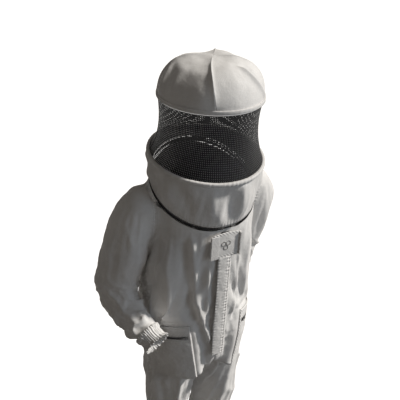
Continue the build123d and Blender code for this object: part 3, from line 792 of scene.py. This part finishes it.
def veil_at(a, t):
    """A point on the net: a round the veil, t from 0 at the brim to 1 at the lower hoop."""
    a, t = np.broadcast_arrays(a, t)
    top = np.stack([.1650 * np.sin(a), -.1650 * np.cos(a), np.full(a.shape, .1925)], -1)
    waist = .1600 + .0022 * np.sin(3 * a + .6) + .0016 * np.sin(7 * a)
    middle = np.stack([waist * np.sin(a), -waist * np.cos(a) + .003, np.full(a.shape, .088)], -1)
    low = on_ring(HOOP_C, HOOP_TILT, .1860, a, .0066)
    t = t[..., None]
    return top * (1 - t) * (1 - 2 * t) + middle * 4 * t * (1 - t) + low * t * (2 * t - 1)


def net(name, start, end):
    """Square net made of its own crossing strands."""
    pitch, half = .0058, .00185
    up = int((end - start) * .170 / pitch)
    across = int(.196 / pitch)
    verts, faces, base = [], [], 0
    da, dt = half / .170, half / .196
    t = np.linspace(0, 1, 25)
    for j in range(up + 1):
        a = start + (end - start) * j / up
        p = np.stack([veil_at(np.full_like(t, a - da), t), veil_at(np.full_like(t, a + da), t)], 1)
        p = p.reshape(-1, 3)
        i = np.arange(len(t) - 1) * 2
        verts.append(p)
        faces.append(np.stack([i, i + 1, i + 3, i + 2], 1) + base)
        base += len(p)
    a = np.linspace(start, end, int((end - start) * 36) + 2)
    for j in range(across + 1):
        tt = j / across
        edges = max(0, tt - dt), min(1, tt + dt)
        p = np.stack([veil_at(a, np.full_like(a, e)) for e in edges], 1)
        lift = p / np.linalg.norm(p * [1, 1, 0], axis=-1)[..., None] * [1, 1, 0]
        p = (p + lift * .0003).reshape(-1, 3)
        i = np.arange(len(a) - 1) * 2
        verts.append(p)
        faces.append(np.stack([i, i + 1, i + 3, i + 2], 1) + base)
        base += len(p)
    return link(name, np.concatenate(verts), np.concatenate(faces))


SEAM_A = math.radians(113)
for name, start, end in (("front", -SEAM_A, SEAM_A), ("back", SEAM_A, TAU - SEAM_A)):
    piece = net(f"net_{name}", start, end)
    dress(piece, NET, "hood", f"veil_mesh_{name}", slot="veil_mesh")

tape_rows, dots = [], []
for side in (1, -1):
    t = np.linspace(.005, .995, 60)
    a = side * SEAM_A + np.linspace(-.019, .019, 7)
    rows = np.array([veil_at(a, np.full_like(a, q)) for q in t])
    out = rows / np.linalg.norm(rows * [1, 1, 0], axis=-1)[..., None] * [1, 1, 0]
    tape_rows.append(rows + out * (.0012 + .0004 * np.cos(np.linspace(-math.pi, math.pi, 7)))[None, :, None])
    for q in np.arange(.02, .98, .021):
        c = veil_at(np.array(side * SEAM_A), np.array(q))
        o = c * [1, 1, 0] / np.linalg.norm(c[:2])
        tan = np.cross([0, 0, 1.], o)
        dots.append((c + o * .0022, (tan * .0007, o * .0004, np.array([0, 0, .0013]))))
tapes = []
for k, rows in enumerate(tape_rows):
    tapes.append(solid(grid(f"veil_tape_{k}", rows), .0007, 0))
dress(tapes[0], NET, "hood", "veil_seam_tapes", slot="hood_binding")
dress(tapes[1], NET, "hood", slot="hood_binding")
dress(boxes("veil_stitches", dots), BAND, "hood", slot="hood_binding")


def gather(name, low_c, low_tilt, low_r, low_w, top_c, top_tilt, top_r, top_w, rows, columns, folds, depth):
    """A gathered band of cloth between two rings."""
    a = np.arange(columns) / columns * TAU
    top = on_ring(top_c, top_tilt, top_r, a, top_w)
    low = on_ring(low_c, low_tilt, low_r, a, low_w)
    pts = []
    x, y, n = ring_axes(low_tilt)
    radial = np.sin(a)[:, None] * x - np.cos(a)[:, None] * y
    for k in range(rows + 1):
        t = k / rows
        p = top * (1 - t) + low * t
        slump = .007 * math.sin(math.pi * t)
        x, y = np.cos(a) * folds, np.sin(a) * folds
        wave = smooth_noise(np.stack([x, y, np.full_like(a, t * 1.2)], -1), 1.0, 3.3)
        fine = smooth_noise(np.stack([x * 3, y * 3, np.full_like(a, t * 2)], -1), 1.0, 8.1)
        edge = math.sin(math.pi * t) ** .7
        pts.append(p + radial * (slump + (wave * depth + fine * depth * .18) * edge)[:, None])
    return grid(name, np.array(pts), wrap=True)


angle = np.arange(720) / 720 * TAU
signed = (angle + math.pi) % TAU - math.pi
hem = .0062 - .0095 * ease((signed - .30) / .35) * ease((1.7 - signed) / .4)
skirt = gather("skirt_cloth", NECK_C, NECK_TILT, .1885, hem, HOOP_C, HOOP_TILT, .1885, -.0062,
               22, 720, 3.1, .0190)
# The last row's seam distance of .001 paints shade along the skirt's lower edge, where it meets the casing
mark(skirt, np.repeat((22 - np.arange(23)) * .004, 720) + .001, np.tile(signed * .19, 23))
solid(skirt, .0010, 1)
dress(skirt, CLOTH, "hood", "veil_skirt_front", "veil_skirt_back", slot="skirt_cloth")

# The headband and its straps
a = np.arange(240) / 240 * TAU
band_rows = []
for k in range(11):
    rib = .0005 * math.cos(k * math.pi)
    up = np.full_like(a, .214 + .0026 * k)
    band_rows.append(np.stack([(.0795 + rib) * np.sin(a), -(.0975 + rib) * np.cos(a), up], -1))
headband = solid(grid("headband_knit", np.array(band_rows), wrap=True), .0016, 0)
dress(headband, KNIT, "hood", "headband", slot="headband_elastic")
for k in range(4):
    th = k * math.pi / 2
    o = np.array([math.sin(th), -math.cos(th), 0])
    tan = np.array([math.cos(th), math.sin(th), 0])
    r0 = .0800 if k % 2 else .0978
    run = np.linspace(r0, .150, 24)
    rows = []
    for q in run:
        sag = .004 * math.sin(math.pi * (q - r0) / (.150 - r0))
        rows.append(o * q + np.array([0, 0, .217 - sag]) + tan * np.linspace(-.009, .009, 9)[:, None])
    dress(solid(grid(f"headband_strap_{k}", np.array(rows)), .0014, 0), KNIT, "hood", slot="headband_elastic")


# ---- Zips ----------------------------------------------------------------------------------------
def ring_zip(name, point, a0, a1, radius, rows):
    """Teeth along an arc. point(r, a, w) places them; rows are the heights of its rows of teeth."""
    step = .0026 / radius
    count = int((a1 - a0) / step)
    frames = []
    for w in rows:
        for k in range(count):
            a = a0 + (k + .5) * (a1 - a0) / count
            c = point(radius, a, w)
            o = point(radius + .001, a, w) - c
            u = point(radius, a, w + .001) - c
            o, u = o / np.linalg.norm(o), u / np.linalg.norm(u)
            t = np.cross(u, o)
            frames.append((c, (t * .00085, o * .0013, u * (.0011 if k % 2 else .0009))))
    return boxes(name, frames)


def neck_point(r, a, w):
    return on_ring(NECK_C, NECK_TILT, np.asarray(r, float), np.asarray(a, float), np.asarray(w, float))


def ring_tape(name, point, a, r, w0, w1, wrap):
    rows = [point(r, a, np.full_like(a, w)) for w in np.linspace(w0, w1, 6)]
    return solid(grid(name, np.array(rows), wrap=wrap), .0009, 0)


around = np.arange(360) / 360 * TAU
NECK_ZIP = (("upper", "hood", .0020, .0030, .0085), ("lower", "suit", -.0020, -.0135, -.0030))
for side, body, w, w0, w1 in NECK_ZIP:
    coil = ring_zip(f"neck_coil_{side}", neck_point, 0, TAU, .1834, (w,))
    dress(coil, COIL, body, f"neck_zip_{side}_teeth", slot="zip_teeth")
    tape = ring_tape(f"neck_tape_{side}", neck_point, around, .1836, w0, w1, True)
    dress(tape, TAPE, body, f"neck_zip_{side}_tape", slot="zip_tape")
dress(boxes("front_coil", [
    ((side * .0020, -.1400, -.2275 - k * .0026), ((.0011, 0, 0), (0, .0013, 0), (0, 0, .00085)))
    for side in (1, -1) for k in range(194)]), COIL, "suit", "front_zip_teeth", slot="zip_teeth")
for side in (1, -1):
    x = side * np.linspace(.0030, .0160, 6)
    z = np.linspace(-.2265, -.7345, 90)
    rows = np.array([np.stack([x, np.full(6, -.1400 + .0003 * math.sin(q * 300)), np.full(6, q)], -1)
                     for q in z])
    tape = solid(grid(f"front_tape_{'left' if side > 0 else 'right'}", rows), .0009, 0)
    dress(tape, TAPE, "suit", *(["front_zip_tapes"] if side > 0 else []), slot="zip_tape")

for side, name in ((1, "left"), (-1, "right")):
    def at(r, a, w, side=side):
        return pocket_point(side, np.asarray(r, float), np.degrees(a), np.asarray(w, float))
    edge = math.radians(22.5)
    coil = ring_zip(f"pocket_coil_{name}", at, -edge, edge, .1816, (.0020, -.0020))
    dress(coil, COIL, "suit", f"pocket_zip_{name}", slot="pocket_zip_tape")
    arc = np.linspace(-edge, edge, 60)
    for part, w0, w1 in (("upper", .0030, .0155), ("lower", -.0155, -.0030)):
        tape = ring_tape(f"pocket_tape_{part}_{name}", at, arc, .1812, w0, w1, False)
        dress(tape, TAPE, "suit", slot="pocket_zip_tape")
    # the patch, with a slot for its zip
    aa = np.linspace(-26, 26, 79)
    slot_rows = [-.0062, -.0050, 0, .0050, .0062]
    ww = np.concatenate([np.linspace(-.190, -.0075, 62), slot_rows, np.linspace(.0075, .046, 16)])
    rows = []
    for w in ww:
        u, v = np.abs(aa) / 26, abs(w + .072) / .118
        turned = np.maximum(ease((u - .955) / .045), ease((v - .965) / .035))
        p = pocket_point(side, np.full_like(aa, pocket_radius(w)), aa, np.full_like(aa, w))
        fold = smooth_noise(p * [1, 1, .7], .030, 6.0) * .0026 + smooth_noise(p, .013, 2.0) * .0009
        quiet = 1 - ease((.020 - abs(w)) / .012)
        r = pocket_radius(w) + fold * quiet * (1 - turned) - .0040 * turned
        rows.append(pocket_point(side, r, aa, np.full_like(aa, w)))
    patch = grid(f"pocket_cloth_{name}", np.array(rows))
    bm = bmesh.new()
    bm.from_mesh(patch.data)
    gone = []
    for f in bm.faces:
        a, w, r = in_pocket(np.array(f.calc_center_median())[None], side)
        if abs(a[0]) < 22.0 and abs(w[0]) < .0052:
            gone.append(f)
    bmesh.ops.delete(bm, geom=gone, context="FACES")
    bm.to_mesh(patch.data)
    bm.free()
    a, w, r = in_pocket(points_of(patch), side)
    # Seam distances fall to nothing at the patch's edges and round its zip slot, so painted shade lines run
    # round both
    round_zip = np.abs(np.abs(w) - .006) + (np.abs(a) > 23)
    seam = np.minimum.reduce([np.radians(26 - np.abs(a)) * .183, .046 - w, w + .190, round_zip])
    mark(patch, np.abs(seam), w + np.radians(a) * .183)
    solid(patch, .0009, -1)
    dress(patch, CLOTH, "suit", f"pocket_{name}", slot="pocket_cloth")


# ---- Front fly and throat flap --------------------------------------------------------------------
z = np.linspace(FLY_TOP + .004, FLY_BOTTOM, 240)
cross = catmull([(-.0250, -.1512), (-.0190, -.1520), (-.0060, -.1524), (.0080, -.1523), (.0190, -.1516),
                 (.0262, -.1480),
                 (.0300, -.1425), (.0318, -.1402)], 4)
rows = []
for q in z:
    p = np.stack([cross[:, 0], cross[:, 1], np.full(len(cross), q)], -1)
    stitch = np.exp(-((cross[:, 0] - .0165) / .0045) ** 2)
    pucker = .0011 * math.sin(q * 430 + 2 * math.sin(q * 61)) * stitch
    wave = smooth_noise(p * [1, 1, .5], .032, 1.7) * .0014 + smooth_noise(p, .012, 4.4) * .0006
    p[:, 1] += pucker - np.abs(wave) * (cross[:, 0] < .024)
    p[:, 0] += .0012 * math.sin(q * 23) * (cross[:, 0] < -.015)
    rows.append(p)
fly = grid("fly_cloth", np.array(rows))
x = points_of(fly)[:, 0]
# The line stitched at x = .0165 gets the painted seam shade; the free edge, held .0022 off, gets none
mark(fly, np.minimum(np.abs(x - .0165), np.abs(x + .0250) + .0022), points_of(fly)[:, 2])
solid(fly, .0014, -1)
dress(fly, CLOTH, "suit", "front_fly", "fly_facing", slot="fly_cloth")

FLAP = (-.060, .055, -.318, -.222)
xs = np.linspace(FLAP[0], FLAP[1], 64)
half, mid = (FLAP[1] - FLAP[0]) / 2, (FLAP[1] + FLAP[0]) / 2
top = FLAP[3] - .007 * ((xs - mid) / half) ** 2 - .010 * ease((FLAP[0] + .014 - xs) / .014) ** 1.5
rows = []
for t in np.linspace(0, 1, 56):
    zz = top * (1 - t) + FLAP[2] * t
    p = np.stack([xs, np.full_like(xs, -.1520), zz], -1)
    lift = smooth_noise(p, .035, 2.2) * .0012
    p[:, 1] -= np.abs(lift) + .0012 * math.sin(math.pi * t) * np.sin(math.pi * (xs - FLAP[0]) / (2 * half))
    rows.append(p)
flap = grid("flap_cloth", np.array(rows))
p = points_of(flap)
edge = np.minimum.reduce([p[:, 0] - FLAP[0], FLAP[1] - p[:, 0], p[:, 2] - FLAP[2], np.tile(top, 56) - p[:, 2]])
mark(flap, edge + .0015, p[:, 0] + p[:, 2])
solid(flap, .0014, 0, .0004)
dress(flap, CLOTH, "flap", "throat_flap", slot="flap_cloth")

# Three small stitched cells on the flap
stitches = []
for cx, cz in ((-.0110, -.2640), (.0070, -.2640), (-.0020, -.2796)):
    for k in range(6):
        a, b = k * math.pi / 3 + math.pi / 6, (k + 1) * math.pi / 3 + math.pi / 6
        p0 = np.array([cx + .0086 * math.cos(a), 0, cz + .0086 * math.sin(a)])
        p1 = np.array([cx + .0086 * math.cos(b), 0, cz + .0086 * math.sin(b)])
        for t in (np.arange(4) + .5) / 4:
            c = p0 * (1 - t) + p1 * t + np.array([0, -.1546, 0])
            d = (p1 - p0) / np.linalg.norm(p1 - p0)
            stitches.append((c, (d * .00095, np.array([0, .0004, 0]), np.cross(d, [0, 1., 0]) * .0007)))
dress(boxes("flap_motif", stitches), THREAD, "flap", slot="flap_cloth")


def pad(name, low, high, material, body, node, slot, bumps=0.0):
    """A small soft block with rounded edges and an uneven face."""
    low, high = np.array(low), np.array(high)
    n = 26
    u, v = np.meshgrid(np.linspace(0, 1, n), np.linspace(0, 1, n * 2), indexing="ij")
    p = np.stack([low[0] + u * (high[0] - low[0]), np.full_like(u, low[1]),
                  low[2] + v * (high[2] - low[2])], -1)
    rough = smooth_noise(p.reshape(-1, 3), .004, 3.0).reshape(u.shape) * bumps
    p[..., 1] += rough
    piece = solid(grid(name, p), float(high[1] - low[1]), -1, .0004)
    return dress(piece, material, body, *node, slot=slot)


pad("flap_hooks", (-.055, -.1510, -.313), (-.029, -.1497, -.234),
    KNIT, "flap", ["flap_hook_patch"], "hook_tape", .0003)
pad("flap_loops", (-.055, -.1489, -.313), (-.029, -.1478, -.234),
    KNIT, "suit", ["flap_loop_patch"], "loop_tape", .0003)
pad("throat_facing_right", (-.0575, -.1476, -.318), (-.029, -.1405, -.2315),
    BAND, "suit", ["throat_facing"], "fly_cloth", .0004)
pad("throat_facing_left", (.050, -.1504, -.318), (.055, -.1405, -.2315), BAND, "suit", [], "fly_cloth", .0004)


# ---- Cuffs and ankle hems --------------------------------------------------------------------------
def ruffle(name, centre, direction, inner, length, start, pleats, radius, seed):
    """A band gathered on an elastic, with a frill at its free end."""
    d = np.array(direction, float) / np.linalg.norm(direction)
    side = np.cross(d, [0, 1, 0]) if abs(d[1]) < .9 else np.cross(d, [1, 0, 0])
    side /= np.linalg.norm(side)
    other = np.cross(d, side)
    count = 288
    t = np.arange(count) / count * TAU
    rows = []
    for v in np.linspace(0, 1, 30):
        w = start + (length - start) * v
        r = radius + (inner - radius) * ease((v - .15) / .2) * ease((1.02 - v) / .22)
        deep = .0016 + .0026 * ease((v - .72) / .28) + .0014 * ease((.22 - v) / .22)
        place = np.stack([np.cos(t) * 2, np.sin(t) * 2, np.full_like(t, v * .8)], -1)
        jig = smooth_noise(place, 1.0, seed) * 1.4
        wave = np.sin(t * pleats + jig * 2.2 + .5 * math.sin(v * 9))
        wave = wave + .45 * np.sin(t * pleats * 1.7 + jig * 3 + 1.0)
        rr = r + deep * wave * .62
        rows.append(np.array(centre) + d * (w + .0016 * np.sin(t * pleats * .5 + seed))[:, None]
                    + np.outer(rr * np.cos(t), side) + np.outer(rr * np.sin(t), other))
    piece = solid(grid(name, np.array(rows), wrap=True), .0008, 0)
    return piece


for name, centre, direction, body in (
        ("left", np.array(HANGING[-1][0]), np.array(HANGING[-1][1]), "sleeve_left"),
        ("right", np.array(BENT[-1][0]) * [-1, 1, 1], np.array(BENT[-1][1]) * [-1, 1, 1], "sleeve_right")):
    seed = 2.0 if name == "left" else 5.0
    cuff = ruffle(f"cuff_cloth_{name}", centre, direction, .0420, .040, -.014, 34, .0470, seed)
    dress(cuff, BAND, body, f"cuff_{name}", slot="cuff_cloth")
for name, sign in (("left", 1), ("right", -1)):
    ankle = (sign * .100, .042, -1.400)
    hem_piece = ruffle(f"hem_cloth_{name}", ankle, (0, 0, -1), .0640, .0405, -.010, 40, .0685, 3.0 + sign)
    dress(hem_piece, BAND, "suit", f"ankle_hem_{name}", slot="hem_cloth")

# ---- CAD parts that show: finish only -------------------------------------------------------------
HARDWARE = ("neck_slider", "neck_pull", "pocket_slider", "pocket_pull", "front_slider", "front_pull",
            "upper_hoop", "lower_hoop", "cuff_elastic", "ankle_elastics")
SHOWN = {"slider": ENAMEL, "pull": ENAMEL, "hoop": WIRE, "elastic": KNIT}
for obj in bpy.data.objects:
    if obj.type != "MESH" or obj.hide_render:
        continue
    for key, material in SHOWN.items():
        if key in obj.name and obj.name.startswith(HARDWARE):
            for k in range(len(obj.material_slots)):
                obj.material_slots[k].link = "DATA"
                obj.material_slots[k].material = material

# ---- Floor, light and camera ----------------------------------------------------------------------
REACH = 40
corners = ((-REACH, -REACH), (REACH, -REACH), (REACH, REACH), (-REACH, REACH))
floor = link("floor", [(x, y, -1.4465) for x, y in corners], [(0, 1, 2, 3)])
n = Nodes("floor")
where = n.add("ShaderNodeTexCoord").outputs["Object"]
pale = n.ramp(n.noise(where, 2.2, 3), [(.3, (.86, .86, .86)), (.7, (.90, .90, .90))])
n.join(pale, n.bsdf.inputs["Base Color"])
n.bsdf.inputs["Roughness"].default_value = .9
n.bsdf.inputs["Emission Color"].default_value = (1, 1, 1, 1)
n.bsdf.inputs["Emission Strength"].default_value = .50
floor.data.materials.append(n.mat)
floor.visible_diffuse = False       # a bright sweep that doesn't light the suit from below

scene = bpy.context.scene
scene.view_settings.view_transform = "Standard"
world = bpy.data.worlds.new("studio")
scene.world = world
world.use_nodes = True
world.node_tree.nodes["Background"].inputs[0].default_value = (1.0, .93, .85, 1)
world.node_tree.nodes["Background"].inputs[1].default_value = .105


def lamp(name, kind, place, target, size, power, colour):
    data = bpy.data.lights.new(name, kind)
    data.energy, data.color = power, colour
    if kind == "AREA":
        data.shape, data.size = "DISK", size
    else:
        data.angle = size
    obj = bpy.data.objects.new(name, data)
    scene.collection.objects.link(obj)
    obj.location = place
    obj.rotation_euler = (Vector(target) - Vector(place)).to_track_quat("-Z", "Y").to_euler()


lamp("key", "SUN", (1.90, -.72, 1.70), (0, 0, 0), .10, 3.5, (1.0, .96, .90))
lamp("front", "AREA", (1.5, -2.6, .5), (0, 0, -.35), 1.6, 12, (.72, .85, 1.0))

camera = bpy.data.objects.new("camera", bpy.data.cameras.new("camera"))
scene.collection.objects.link(camera)
forward = Vector((.46605, .74938, -.47035)).normalized()
upward = Vector((.19741, .43014, .88092))
upward = (upward - forward * upward.dot(forward)).normalized()
across = forward.cross(upward)
CAMERA_AT = (-1.0469, -1.6564, .8658)
rows = [(across[k], upward[k], -forward[k], CAMERA_AT[k]) for k in range(3)]
camera.matrix_world = Matrix((*rows, (0, 0, 0, 1)))
camera.data.lens, camera.data.clip_end = 58.85, 60
scene.camera = camera
